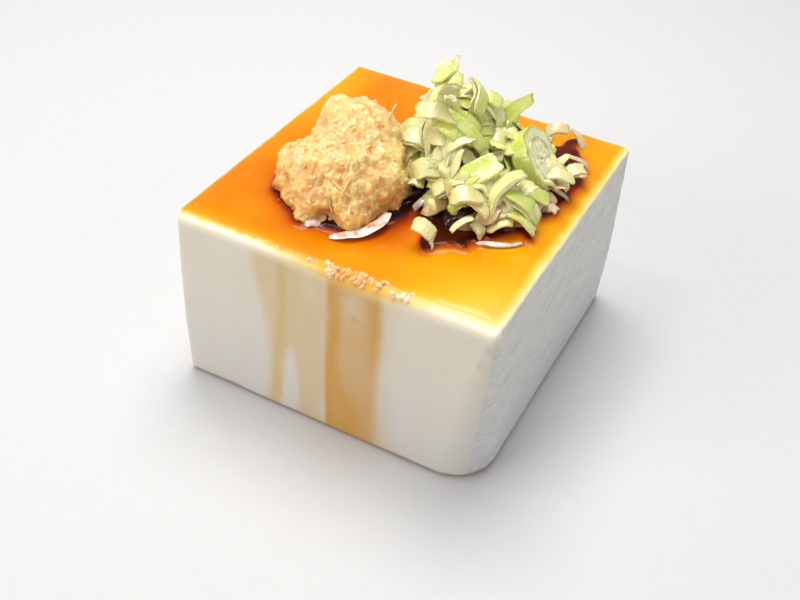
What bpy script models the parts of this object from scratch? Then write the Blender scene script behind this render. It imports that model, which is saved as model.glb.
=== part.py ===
"""A block of silken tofu that carries a mound of grated ginger and a heap of chopped spring onion.

Every length is in metres. The block stands on the ground plane, centred on the origin, +Z up.
The moulded front of the block looks along -Y, and its knife-cut side looks along +X.
"""

import math

import bmesh
import bpy
from mathutils import Matrix, Vector, noise

MM = 0.001

# The block
BLOCK_LENGTH = 80 * MM
BLOCK_DEPTH = 83.5 * MM
BLOCK_HEIGHT = 48.5 * MM
TOP_CORNER = 1.2 * MM
FOOT_CORNERS = {(1, -1): 11 * MM, (-1, -1): 1.5 * MM, (1, 1): 3 * MM, (-1, 1): 2 * MM}
FRONT_RIM = 2.4 * MM
CUT_RIM = 0.7 * MM
FOOT_RIM = 1.4 * MM
BELLY = 0.6 * MM
TOP_WAVE = 0.25 * MM
WAVE_LENGTH = 22 * MM
CELL = 11 * MM
ROUND_CUTS = 4

# The toppings
REST_GAP = 0.3 * MM
MOUND_FACES = 4
COARSE_GRAIN = 4.5 * MM
FINE_GRAIN = 2.2 * MM
TOP = BLOCK_HEIGHT + TOP_WAVE + REST_GAP
GINGER_PLACE = Vector((-12 * MM, -13 * MM, TOP))
GINGER_RADII = Vector((15.5 * MM, 16.5 * MM, 15 * MM))
GINGER_GRAIN = 1.3 * MM
HEAP_PLACE = Vector((18 * MM, 3 * MM, TOP))
HEAP_RADII = Vector((13 * MM, 21 * MM, 11 * MM))
HEAP_GRAIN = 0.6 * MM
HEAP_VOXEL = 0.75 * MM
HEAP_DETAIL = 0.22
SINK = 3 * MM

# A bulge of a mound: bearing and rise in degrees, how far it stands out, and how wide it spreads in degrees.
GINGER_BULGES = [
    (105, 52, 5.2 * MM, 30),
    (100, 10, 5.5 * MM, 40),
    (205, 20, 1.8 * MM, 24),
    (255, 35, 1.6 * MM, 22),
    (290, 12, 1.8 * MM, 20),
    (345, 25, 1.4 * MM, 22),
]
HEAP_BULGES = [
    (175, 52, 12.0 * MM, 26),
    (185, 25, 3.0 * MM, 26),
    (58, 4, 9.0 * MM, 26),
    (25, 0, 6.0 * MM, 24),
    (262, 4, 5.5 * MM, 18),
    (330, 15, 2.0 * MM, 26),
]

# A large slice on the heap: place on the block's top and height above it, turn, tilt and roll in degrees,
# outer radius, wall and length along the stalk in millimetres, and how far round the stalk it goes in degrees.
LARGE_SLICES = [
    ((5, 3, 23), (20, 72, 0), 6.4, 3.6, 5.0, 190),
    ((1, 3, 17), (110, 60, 20), 6.0, 2.4, 5.0, 120),
    ((10, 3, 17), (-25, 40, 15), 7.0, 2.6, 5.0, 150),
    ((11, 9, 18), (60, 65, 0), 6.0, 2.8, 5.0, 160),
    ((15, 16, 13), (150, 50, 10), 6.0, 2.8, 5.0, 200),
    ((16, -8, 8), (35, 25, 10), 6.4, 3.0, 5.0, 120),
    ((26, 8, 8), (60, 62, 0), 7.0, 5.0, 4.5, 320),
    ((24, 26, 6), (15, 35, 0), 5.8, 3.0, 5.0, 220),
    ((27, 32, 5), (200, 40, 0), 5.0, 3.0, 4.5, 200),
    ((20, -11, 4), (100, 30, 0), 6.4, 3.0, 5.5, 220),
    ((28, -6, 4), (-60, 30, 10), 6.0, 3.4, 5.0, 200),
    ((15, -20, 3), (150, 35, 0), 6.0, 3.0, 5.0, 200),
    ((7, -11, 4), (80, 35, 0), 5.6, 2.8, 5.0, 160),
    ((33, 9, 2), (20, 25, 0), 4.8, 2.8, 4.0, 220),
    ((31, 20, 2), (-40, 30, 0), 4.6, 2.6, 4.0, 200),
]
SLICE_STEPS = 12

# Small slices all over the heap: how many, their outer radius, wall and length in millimetres, and their arc.
SMALL_SLICES = 26
SMALL_RADIUS = 4.4
SMALL_WALL = 2.4
SMALL_LENGTH = 4.0
SMALL_ARC = 170
SMALL_LOWEST = 0.12
GOLDEN_ANGLE = math.pi * (3 - math.sqrt(5))


def clear_scene():
    for obj in list(bpy.data.objects):
        bpy.data.objects.remove(obj, do_unlink=True)


def make_collection(name):
    collection = bpy.data.collections.new(name)
    bpy.context.scene.collection.children.link(collection)
    return collection


def make_material(name, color, roughness):
    material = bpy.data.materials.new(name)
    material.use_nodes = True
    shader = material.node_tree.nodes["Principled BSDF"]
    shader.inputs["Base Color"].default_value = (*color, 1)
    shader.inputs["Roughness"].default_value = roughness
    shader.inputs["Metallic"].default_value = 0
    return material


def finish_object(mesh, name, collection, material=None):
    """Turns a bmesh into a smooth shaded object of the collection."""
    bmesh.ops.recalc_face_normals(mesh, faces=mesh.faces)
    data = bpy.data.meshes.new(name)
    mesh.to_mesh(data)
    mesh.free()
    for polygon in data.polygons:
        polygon.use_smooth = True
    if material:
        data.materials.append(material)
    obj = bpy.data.objects.new(name, data)
    collection.objects.link(obj)
    return obj


def make_cutter(mesh, name, collection):
    cutter = finish_object(mesh, name, collection)
    cutter.hide_render = True
    cutter.display_type = "WIRE"
    return cutter


def cut_lines(length, edges):
    """Where to cut a side of this length: close together over a rounded edge at each end, CELL apart between."""
    half = length / 2
    low, high = edges
    inner = length - low - high
    cells = max(1, round(inner / CELL))
    lines = [-half + low * step / ROUND_CUTS for step in range(1, ROUND_CUTS)]
    lines += [-half + low + inner * step / cells for step in range(cells + 1)]
    lines += [half - high * step / ROUND_CUTS for step in range(1, ROUND_CUTS)]
    return lines


def corner_radius(sx, sy, z):
    """Radius of one upright corner at height z: nearly sharp at the top and soft at the foot."""
    foot = FOOT_CORNERS[(sx, sy)]
    share = min(1, max(0, z / BLOCK_HEIGHT))
    return foot + (TOP_CORNER - foot) * share**1.3


def plan_round(point):
    """Moves a point of the square plan onto the rounded plan, and gives its gap to the outline and the way out."""
    half_x, half_y = BLOCK_LENGTH / 2, BLOCK_DEPTH / 2
    sx = 1 if point.x >= 0 else -1
    sy = 1 if point.y >= 0 else -1
    radius = corner_radius(sx, sy, point.z)
    dx = abs(point.x) - (half_x - radius)
    dy = abs(point.y) - (half_y - radius)
    if dx > 0 and dy > 0:
        reach = max(dx, dy)
        scale = reach / math.hypot(dx, dy)
        out = Vector((sx * dx, sy * dy, 0)).normalized()
        placed = Vector((sx * (half_x - radius + dx * scale), sy * (half_y - radius + dy * scale), point.z))
        return placed, radius - reach, out
    if dx - dy > 0:
        return point.copy(), half_x - abs(point.x), Vector((sx, 0, 0))
    return point.copy(), half_y - abs(point.y), Vector((0, sy, 0))


def rim_round(point, gap, out, radius, below):
    """Rounds the rim between a side and the top, or the foot where below is set."""
    drop = point.z if below else BLOCK_HEIGHT - point.z
    a, b = radius - gap, radius - drop
    if a <= 0 or b <= 0:
        return point
    scale = radius / math.hypot(a, b) if max(a, b) >= radius - 1e-9 else 1
    sign = 1 if below else -1
    moved = point - out * (a - a * scale)
    moved.z += sign * (b - b * scale)
    return moved


def front_share(out):
    """1 where the outline looks to the moulded front, and 0 where it looks to the cut sides."""
    return max(0, -out.y) ** 2


def soften(point):
    """The place on the real block of a point on the plain box."""
    placed, gap, out = plan_round(point)
    top_rim = CUT_RIM + (FRONT_RIM - CUT_RIM) * front_share(out)
    placed = rim_round(placed, gap, out, top_rim, False)
    placed = rim_round(placed, gap, out, FOOT_RIM, True)
    share = placed.z / BLOCK_HEIGHT
    belly = BELLY * math.sin(math.pi * share**0.8)
    if gap < 1e-6:
        placed += out * belly
    if share > 0.98 and gap > FRONT_RIM:
        placed.z += TOP_WAVE * noise.noise(placed / WAVE_LENGTH)
    return placed


def make_block(collection, material):
    mesh = bmesh.new()
    bmesh.ops.create_cube(mesh, size=1)
    size = Vector((BLOCK_LENGTH, BLOCK_DEPTH, BLOCK_HEIGHT))
    bmesh.ops.scale(mesh, vec=size, verts=mesh.verts)
    bmesh.ops.translate(mesh, vec=(0, 0, BLOCK_HEIGHT / 2), verts=mesh.verts)
    wide = max(FOOT_CORNERS.values())
    small = FOOT_CORNERS[(-1, -1)]
    planes = [(Vector((x, 0, 0)), Vector((1, 0, 0))) for x in cut_lines(BLOCK_LENGTH, (small, wide))]
    planes += [(Vector((0, y, 0)), Vector((0, 1, 0))) for y in cut_lines(BLOCK_DEPTH, (wide, small))]
    for z in cut_lines(BLOCK_HEIGHT, (FOOT_RIM, FRONT_RIM)):
        planes.append((Vector((0, 0, z + BLOCK_HEIGHT / 2)), Vector((0, 0, 1))))
    for place, normal in planes:
        geometry = mesh.verts[:] + mesh.edges[:] + mesh.faces[:]
        bmesh.ops.bisect_plane(mesh, geom=geometry, plane_co=place, plane_no=normal)
    for vertex in mesh.verts:
        vertex.co = soften(vertex.co)
    return finish_object(mesh, "tofu_block", collection, material)


def bulge_at(direction, bulges):
    """How far the bulges push a mound's surface out along this unit direction."""
    total = 0
    for bearing, rise, height, spread in bulges:
        turn, lift = math.radians(bearing), math.radians(rise)
        axis = Vector((math.cos(turn) * math.cos(lift), math.sin(turn) * math.cos(lift), math.sin(lift)))
        angle = math.degrees(math.acos(max(-1, min(1, axis.dot(direction)))))
        total += height * math.exp(-((angle / spread) ** 2))
    return total


def make_mound(place, radii, bulges, grain, floor):
    """A lumpy mound as a bmesh: a sphere stretched, pushed out by its bulges and cut flat at the floor."""
    mesh = bmesh.new()
    bmesh.ops.create_icosphere(mesh, subdivisions=MOUND_FACES, radius=1)
    for vertex in mesh.verts:
        direction = vertex.co.normalized()
        point = Vector((direction.x * radii.x, direction.y * radii.y, direction.z * radii.z))
        push = bulge_at(direction, bulges)
        push += grain * (noise.noise(point / COARSE_GRAIN) + 0.6 * noise.noise(point / FINE_GRAIN))
        point += direction * push
        point += place
        point.z = max(point.z, floor)
        vertex.co = point
    return mesh


def make_ginger(collection, material):
    mesh = make_mound(GINGER_PLACE, GINGER_RADII, GINGER_BULGES, GINGER_GRAIN, TOP)
    return finish_object(mesh, "grated_ginger", collection, material)


def slice_matrix(place, turns):
    """Where a slice goes: its place over the block's top in millimetres, and its turn, tilt and roll in degrees."""
    turn, tilt, roll = (math.radians(angle) for angle in turns)
    move = Matrix.Translation(Vector(place) * MM + Vector((0, 0, TOP)))
    return move @ Matrix.Rotation(turn, 4, "Z") @ Matrix.Rotation(tilt, 4, "X") @ Matrix.Rotation(roll, 4, "Y")


def add_slice(mesh, matrix, radius, wall, length, arc):
    """Adds one curved slice of onion stalk: part of a thick tube round its own Z axis, closed at its ends."""
    before = set(mesh.verts)
    corners = [(radius - wall, 0), (radius, 0), (radius, length), (radius - wall, length)]
    profile = [mesh.verts.new((x * MM, 0, (z - length / 2) * MM)) for x, z in corners]
    face = mesh.faces.new(profile)
    bmesh.ops.spin(
        mesh,
        geom=profile + list(face.edges) + [face],
        angle=math.radians(arc),
        steps=SLICE_STEPS,
        axis=(0, 0, 1),
        cent=(0, 0, 0),
    )
    added = [vertex for vertex in mesh.verts if vertex not in before]
    centred = Matrix.Translation((-radius * MM / 2, 0, 0)) @ Matrix.Rotation(math.radians(-arc / 2), 4, "Z")
    bmesh.ops.transform(mesh, matrix=matrix @ centred, verts=added)


def heap_surface(direction):
    """The point of the heap's core, over the block's top in millimetres, that this unit direction meets."""
    point = Vector((direction.x * HEAP_RADII.x, direction.y * HEAP_RADII.y, direction.z * HEAP_RADII.z))
    point += direction * bulge_at(direction, HEAP_BULGES)
    return (point + HEAP_PLACE - Vector((0, 0, TOP))) / MM


def add_small_slices(mesh):
    """Spreads the small slices over the core from its foot to its peak, each turned and sized its own way."""
    for number in range(SMALL_SLICES):
        rise = SMALL_LOWEST + (1 - SMALL_LOWEST) * (number + 0.5) / SMALL_SLICES
        turn = number * GOLDEN_ANGLE
        level = math.sqrt(1 - rise * rise)
        place = heap_surface(Vector((level * math.cos(turn), level * math.sin(turn), rise)))
        turns = (math.degrees(turn) * 1.7, 25 + 40 * math.sin(number * 2.3), 20 * math.cos(number * 1.9))
        size = 1 + 0.2 * math.sin(number * 3.1)
        add_slice(
            mesh,
            slice_matrix(place, turns),
            SMALL_RADIUS * size,
            SMALL_WALL * size,
            SMALL_LENGTH,
            SMALL_ARC,
        )


def make_heap(collection, cutters, material):
    """The heap out to its uneven outline: a mound and its slices made one, cut flat below and clear of the ginger."""
    mesh = make_mound(HEAP_PLACE, HEAP_RADII, HEAP_BULGES, HEAP_GRAIN, TOP - SINK)
    for place, turns, radius, wall, length, arc in LARGE_SLICES:
        add_slice(mesh, slice_matrix(place, turns), radius, wall, length, arc)
    add_small_slices(mesh)
    heap = finish_object(mesh, "spring_onion_heap", collection, material)

    remesh = heap.modifiers.new("one_body", "REMESH")
    remesh.mode = "VOXEL"
    remesh.voxel_size = HEAP_VOXEL
    remesh.use_smooth_shade = True
    thin = heap.modifiers.new("fewer_faces", "DECIMATE")
    thin.ratio = HEAP_DETAIL

    slab = bmesh.new()
    bmesh.ops.create_cube(slab, size=1)
    bmesh.ops.scale(slab, vec=(BLOCK_LENGTH * 2, BLOCK_DEPTH * 2, BLOCK_HEIGHT), verts=slab.verts)
    bmesh.ops.translate(slab, vec=(0, 0, TOP - BLOCK_HEIGHT / 2), verts=slab.verts)
    room = make_mound(
        GINGER_PLACE,
        GINGER_RADII + Vector((1, 1, 1)) * 2 * REST_GAP,
        GINGER_BULGES,
        GINGER_GRAIN,
        TOP - SINK,
    )
    for name, cutter_mesh in (("flat_base", slab), ("ginger_room", room)):
        cutter = make_cutter(cutter_mesh, name, cutters)
        cut = heap.modifiers.new(name, "BOOLEAN")
        cut.operation = "DIFFERENCE"
        cut.solver = "EXACT"
        cut.object = cutter
    return heap


def main():
    clear_scene()
    parts = make_collection("tofu_with_toppings")
    cutters = make_collection("cutters")
    make_block(parts, make_material("tofu", (0.72, 0.68, 0.60), 0.35))
    make_ginger(parts, make_material("ginger", (0.79, 0.52, 0.20), 0.30))
    make_heap(parts, cutters, make_material("spring_onion", (0.66, 0.68, 0.22), 0.35))


main()
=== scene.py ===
import math
import random

import bmesh
import bpy
from mathutils import Matrix, Vector, noise
from mathutils.bvhtree import BVHTree


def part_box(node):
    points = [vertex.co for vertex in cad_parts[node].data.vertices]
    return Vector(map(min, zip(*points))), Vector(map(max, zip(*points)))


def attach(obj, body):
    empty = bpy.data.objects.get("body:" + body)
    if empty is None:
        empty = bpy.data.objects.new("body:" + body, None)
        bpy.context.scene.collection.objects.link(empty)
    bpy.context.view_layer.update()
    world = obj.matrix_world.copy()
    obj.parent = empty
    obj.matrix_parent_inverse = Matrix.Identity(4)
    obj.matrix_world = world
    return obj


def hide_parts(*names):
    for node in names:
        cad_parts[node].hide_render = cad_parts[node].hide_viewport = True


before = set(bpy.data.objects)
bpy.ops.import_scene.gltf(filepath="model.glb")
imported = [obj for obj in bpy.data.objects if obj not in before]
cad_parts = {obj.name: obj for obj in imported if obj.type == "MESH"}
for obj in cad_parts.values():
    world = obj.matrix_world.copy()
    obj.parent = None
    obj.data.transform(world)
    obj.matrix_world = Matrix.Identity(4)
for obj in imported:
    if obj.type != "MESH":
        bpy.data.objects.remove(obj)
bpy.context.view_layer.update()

mm = 0.001
blockLow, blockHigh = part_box("tofu_block")
gingerLow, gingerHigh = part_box("grated_ginger")
heapLow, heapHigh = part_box("spring_onion_heap")


# Small helpers
def clearSelection():
    if bpy.context.object and bpy.context.object.mode != "OBJECT":
        bpy.ops.object.mode_set(mode="OBJECT")
    bpy.ops.object.select_all(action="DESELECT")


def pickOnly(obj):
    clearSelection()
    obj.select_set(True)
    bpy.context.view_layer.objects.active = obj


def applyPlace(obj):
    pickOnly(obj)
    bpy.ops.object.transform_apply(location=True, rotation=True, scale=True)


def applyModifier(obj, kind, **settings):
    pickOnly(obj)
    modifier = obj.modifiers.new(kind.title(), kind)
    for key, value in settings.items():
        setattr(modifier, key, value)
    bpy.ops.object.modifier_apply(modifier=modifier.name)


def facesOut(obj):
    pickOnly(obj)
    bpy.ops.object.mode_set(mode="EDIT")
    bpy.ops.mesh.select_all(action="SELECT")
    bpy.ops.mesh.normals_make_consistent(inside=False)
    bpy.ops.object.mode_set(mode="OBJECT")


def shapePoints(obj, shape):
    for vertex in obj.data.vertices:
        vertex.co = shape(vertex.co)
    obj.data.update()


def storeShare(obj, name, values):
    layer = obj.data.attributes.get(name) or obj.data.attributes.new(name, "FLOAT", "POINT")
    layer.data.foreach_set("value", values)


def smoothStep(low, high, value):
    share = min(1, max(0, (value - low) / (high - low)))
    return share * share * (3 - 2 * share)


def bell(distance, width):
    return math.exp(-((distance / width) ** 2))


def standFor(obj, slotName, *nodes):
    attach(obj, "root")
    if nodes:
        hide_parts(*nodes)


# Shader maths
class Wire:
    # one output socket that can be used in sums
    def __init__(self, finish, socket):
        self.finish = finish
        self.socket = socket

    def maths(self, operation, first, second, clamp=False):
        return self.finish.node("Math", {"operation": operation, "use_clamp": clamp}, {0: first, 1: second})

    def __add__(self, other):
        return self.maths("ADD", self, other)

    __radd__ = __add__

    def __sub__(self, other):
        return self.maths("SUBTRACT", self, other)

    def __rsub__(self, other):
        return self.maths("SUBTRACT", other, self)

    def __mul__(self, other):
        return self.maths("MULTIPLY", self, other)

    __rmul__ = __mul__

    def __truediv__(self, other):
        return self.maths("DIVIDE", self, other)

    def __pow__(self, other):
        return self.maths("POWER", self, other)

    def clipped(self):
        return self.maths("ADD", self, 0.0, True)


class Finish:
    # a new material and the ways to wire it
    def __init__(self, name, **constants):
        self.material = bpy.data.materials.new(name)
        self.material.use_nodes = True
        self.tree = self.material.node_tree
        self.shader = self.tree.nodes["Principled BSDF"]
        for key, value in constants.items():
            self.shader.inputs[key.replace("_", " ")].default_value = value

    def put(self, socket, value):
        if isinstance(value, Wire):
            self.tree.links.new(value.socket, socket)
        elif isinstance(value, (tuple, list)) and socket.type == "RGBA":
            socket.default_value = (*value[:3], 1)
        else:
            socket.default_value = value

    def node(self, kind, settings, sockets, output=0):
        made = self.tree.nodes.new("ShaderNode" + kind)
        for key, value in settings.items():
            if key == "stops":
                for number, (place, colour) in enumerate(value):
                    ramp = made.color_ramp
                    stop = ramp.elements[number] if number < 2 else ramp.elements.new(place)
                    stop.position = place
                    stop.color = (*colour, 1)
            else:
                setattr(made, key, value)
        for key, value in sockets.items():
            self.put(made.inputs[key], value)
        return Wire(self, made.outputs[output])

    def places(self):
        return self.node("TexCoord", {}, {}, "Object")

    def part(self, vector, axis):
        return self.node("SeparateXYZ", {}, {0: vector}, axis)

    def stretched(self, vector, scale, turn=(0, 0, 0)):
        return self.node("Mapping", {}, {"Vector": vector, "Scale": scale, "Rotation": turn})

    def share(self, name):
        return self.node("Attribute", {"attribute_name": name}, {}, "Fac")

    def clouds(self, vector, size, detail=2.0, rough=0.5):
        sockets = {"Vector": vector, "Scale": 1 / size, "Detail": detail, "Roughness": rough}
        return self.node("TexNoise", {}, sockets, 0)

    def blend(self, first, second, share, how="MIX"):
        settings = {"data_type": "RGBA", "blend_type": how, "clamp_factor": True}
        return self.node("Mix", settings, {0: share, 6: first, 7: second}, 2)

    def rise(self, value, low, high):
        sockets = {"Value": value, "From Min": low, "From Max": high}
        return self.node("MapRange", {"interpolation_type": "SMOOTHSTEP"}, sockets)

    def bump(self, height, depth, strength=1.0):
        return self.node("Bump", {}, {"Height": height, "Distance": depth, "Strength": strength})

    def wear(self, obj):
        obj.data.materials.clear()
        obj.data.materials.append(self.material)


def linear(red, green, blue):
    return tuple(
        level / 255 / 12.92 if level <= 10 else ((level / 255 + 0.055) / 1.055) ** 2.4
        for level in (red, green, blue)
    )


# Camera, floor and light
viewSettings = {
    "azimuth": 25.64,      # degrees round from the moulded front towards the cut side
    "elevation": 40.06,
    "roll": 3.80,
    "aside": -2.09 * mm,   # how far the aim sits from the middle of the block's foot
    "above": 7.50 * mm,
    "distance": 284.2 * mm,
    "lens": 47.33,
}


def viewTurn(azimuth, elevation, roll):
    return (
        Matrix.Rotation(math.radians(azimuth), 3, "Z")
        @ Matrix.Rotation(math.radians(90 - elevation), 3, "X")
        @ Matrix.Rotation(math.radians(roll), 3, "Z")
    )


flatView = viewTurn(viewSettings["azimuth"], viewSettings["elevation"], 0)


def makeCamera():
    data = bpy.data.cameras.new("view")
    data.lens = viewSettings["lens"]
    data.sensor_width = 36
    camera = bpy.data.objects.new("view", data)
    bpy.context.scene.collection.objects.link(camera)
    foot = (blockLow + blockHigh) / 2
    foot.z = blockLow.z
    step = Vector((viewSettings["aside"], viewSettings["above"], viewSettings["distance"]))
    turn = viewTurn(viewSettings["azimuth"], viewSettings["elevation"], viewSettings["roll"])
    camera.matrix_world = Matrix.Translation(foot + flatView @ step) @ turn.to_4x4()
    bpy.context.scene.camera = camera


lightSettings = {
    "overhead": {"place": (-0.10, 0.16, 0.62), "size": 0.38, "power": 3.35, "colour": (1.0, 0.985, 0.96)},
    "leftFront": {"place": (-0.45, -0.62, 0.36), "size": 0.48, "power": 2.75, "colour": (1.0, 0.97, 0.93)},
    "rightSide": {"place": (0.70, -0.10, 0.30), "size": 0.60, "power": 0.90, "colour": (0.95, 0.975, 1.0)},
    "spark": {"place": (-0.22, -0.16, 0.60), "size": 0.10, "power": 0.42, "colour": (1.0, 1.0, 1.0)},
}


def makeStage():
    clearSelection()
    bpy.ops.mesh.primitive_plane_add(size=6, location=(0, 0, blockLow.z - 0.0002))
    floor = bpy.context.object
    floor.name = "floor"
    applyPlace(floor)
    paper = Finish("pale_paper", Roughness=0.7)
    grain = paper.clouds(paper.places(), 0.004, 3)
    paper.put(paper.shader.inputs["Base Color"], paper.blend((0.68, 0.68, 0.69), (0.71, 0.71, 0.715), grain))
    paper.wear(floor)

    aim = Vector((0, 0, 0.03))
    for name, setting in lightSettings.items():
        lamp = bpy.data.lights.new(name, "AREA")
        lamp.shape = "SQUARE"
        lamp.size = setting["size"]
        lamp.energy = setting["power"]
        lamp.color = setting["colour"]
        holder = bpy.data.objects.new(name, lamp)
        bpy.context.scene.collection.objects.link(holder)
        holder.location = setting["place"]
        holder.rotation_euler = (aim - holder.location).to_track_quat("-Z", "Y").to_euler()

    world = bpy.data.worlds.new("studio")
    world.use_nodes = True
    sky = world.node_tree.nodes["Background"]
    sky.inputs["Color"].default_value = (0.99, 0.99, 0.99, 1)
    sky.inputs["Strength"].default_value = 0.36
    bpy.context.scene.world = world
    bpy.context.scene.view_settings.view_transform = "Standard"


makeCamera()
makeStage()
print("stage set")


# The block of tofu
tofuSettings = {
    "belly": 0.6 * mm,
    "topCorner": 1.2 * mm,
    "footCorners": {(1, -1): 11 * mm, (-1, -1): 1.5 * mm, (1, 1): 3 * mm, (-1, 1): 2 * mm},
    "frontRim": 2.4 * mm,
    "cutRim": 0.7 * mm,
    "footRim": 1.4 * mm,
    "topWave": 0.25 * mm,
    "waveLength": 22 * mm,
    "cuts": (98, 100, 60),
    "crowd": 0.5,          # how much closer the cuts lie near the edges
    "cutGrain": 0.16 * mm,
    # pits in the moulded front: place along the front and height in mm, radius and depth in mm
    "pits": [(-1.5, 30.5, 0.9, 0.45), (-11, 28.5, 0.6, 0.2), (6.5, 37.6, 0.7, 0.2), (-6.8, 7, 0.5, 0.2),
             (1.2, 22.3, 0.4, 0.25), (24, 13, 0.9, 0.12), (-24, 24, 1.2, 0.1), (30, 30, 1.0, 0.1)],
    # nicks in the upright front corner: height, half height and depth in mm
    "nicks": [(38.5, 0.9, 0.5), (43.5, 0.6, 0.4), (33.0, 0.5, 0.25), (22.0, 0.7, 0.3)],
}

halfLength = (blockHigh.x - blockLow.x) / 2 - tofuSettings["belly"]
halfDepth = (blockHigh.y - blockLow.y) / 2 - tofuSettings["belly"]
blockHeight = 48.5 * mm


def cornerRadius(sx, sy, z):
    foot = tofuSettings["footCorners"][(sx, sy)]
    share = min(1, max(0, z / blockHeight))
    return foot + (tofuSettings["topCorner"] - foot) * share**1.3


def planRound(point):
    sx = 1 if point.x >= 0 else -1
    sy = 1 if point.y >= 0 else -1
    radius = cornerRadius(sx, sy, point.z)
    dx = abs(point.x) - (halfLength - radius)
    dy = abs(point.y) - (halfDepth - radius)
    if dx > 0 and dy > 0:
        reach = max(dx, dy)
        scale = reach / math.hypot(dx, dy)
        out = Vector((sx * dx, sy * dy, 0)).normalized()
        placed = Vector((sx * (halfLength - radius + dx * scale), sy * (halfDepth - radius + dy * scale), point.z))
        return placed, radius - reach, out
    if dx > dy:
        return point.copy(), halfLength - abs(point.x), Vector((sx, 0, 0))
    return point.copy(), halfDepth - abs(point.y), Vector((0, sy, 0))


def roundRim(point, gap, out, radius, below):
    drop = point.z if below else blockHeight - point.z
    a, b = radius - gap, radius - drop
    if a <= 0 or b <= 0:
        return point
    scale = radius / math.hypot(a, b) if max(a, b) >= radius - 1e-9 else 1
    moved = point - out * (a - a * scale)
    moved.z += (b - b * scale) if below else -(b - b * scale)
    return moved


def topWave(x, y):
    return tofuSettings["topWave"] * noise.noise(Vector((x, y, blockHeight)) / tofuSettings["waveLength"])


def softBlock(point):
    placed, gap, out = planRound(point)
    front = max(0, -out.y) ** 2
    rim = tofuSettings["cutRim"] + (tofuSettings["frontRim"] - tofuSettings["cutRim"]) * front
    placed = roundRim(placed, gap, out, rim, False)
    placed = roundRim(placed, gap, out, tofuSettings["footRim"], True)
    share = placed.z / blockHeight
    if gap < 1e-6:
        placed += out * tofuSettings["belly"] * math.sin(math.pi * min(1, share)**0.8)
    if point.z > blockHeight - 1e-6:
        placed.z += topWave(placed.x, placed.y) * smoothStep(0, 3 * mm, gap)
        placed.z += 0.05 * mm * noise.noise(placed / (3 * mm))
    elif gap < 1e-6:
        placed += out * wallRelief(placed, out)
    return placed


def wallRelief(point, out):
    x, y, z = point / mm
    relief = 0.10 * noise.noise(Vector((x, y, z)) / 9)
    if out.y < -0.7:
        for px, pz, radius, depth in tofuSettings["pits"]:
            relief -= depth * bell(math.hypot(x - px, z - pz), radius)
    if out.x > 0.3:
        along, across = (y - z) * 0.707, (y + z) * 0.707
        drag = noise.noise(Vector((along / 7, across / 1.7, 3.1))) + 0.6 * noise.noise(Vector((along / 3, across / 0.9, 8)))
        relief += tofuSettings["cutGrain"] / mm * drag * out.x
    if out.x > 0.2 and out.y < -0.2:
        for height, half, depth in tofuSettings["nicks"]:
            relief -= depth * bell(z - height, half)
    return relief * mm


def frontStain(x, z):
    # what ran down the front: how brown, and how tan the thin veil beside it
    sway = 0.9 * noise.noise(Vector((z / 14, 2.0, 0))) + 0.25 * noise.noise(Vector((z / 3.5, 5.0, 0)))
    x += sway
    low = 1 - smoothStep(6, 26, z)
    broad = smoothStep(-0.9, 0.9, x) * (1 - smoothStep(12.4, 15.2, x))
    leftLine = bell(x - 1.5 - 0.8 * low, 1.7 + 1.6 * low)
    rightLine = bell(x - 12.0, 1.7) * smoothStep(18, 40, z)
    island = bell((x - 6.2) / 2.6, 1) * bell((z - 40) / 4.5, 1)
    brown = broad * (0.74 - 0.30 * island) + 0.38 * leftLine * smoothStep(-1.4, 0.6, x) + 0.26 * rightLine
    brown += 0.22 * low * broad * (1 - smoothStep(8, 14, x))
    brown += 0.30 * bell(math.hypot(x - 6.9, z - 37.8), 1.3)
    leftEdge = -20 + 5.6 * (1 - smoothStep(16, 46, z)) - 1.2 * (1 - smoothStep(4, 18, z))
    veil = smoothStep(leftEdge - 1.4, leftEdge + 2.4, x) * (1 - smoothStep(-1.2, 0.6, x)) * 0.62
    veil += 0.30 * bell(x + 11.5, 1.5) * smoothStep(16, 24, z)
    veil += 0.42 * bell(x + 13.4 + 0.08 * (20 - z), 1.6) * (1 - smoothStep(15, 26, z))
    dropWide = 2.6 * math.sqrt(max(0, 1 - (z / 22.5) ** 2)) if z < 22.5 else 0
    dropMiddle = -8.8 - 0.07 * (22 - z)
    if dropWide > 0:
        veil *= smoothStep(dropWide - 0.9, dropWide + 0.5, abs(x - dropMiddle))
    veil *= 1 - 0.75 * bell((x + 0.9) / 1.1, 1) * bell((z - 5.5) / 3.4, 1)
    veil *= 1 - 0.45 * bell((x + 4.2) / 2.0, 1) * bell((z - 41.5) / 3.0, 1)
    veil += 0.34 * (1 - smoothStep(14, 20.5, x)) * smoothStep(12, 14, x) * (0.6 + 0.4 * low)
    return min(1, brown), min(1, max(0, veil))


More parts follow.
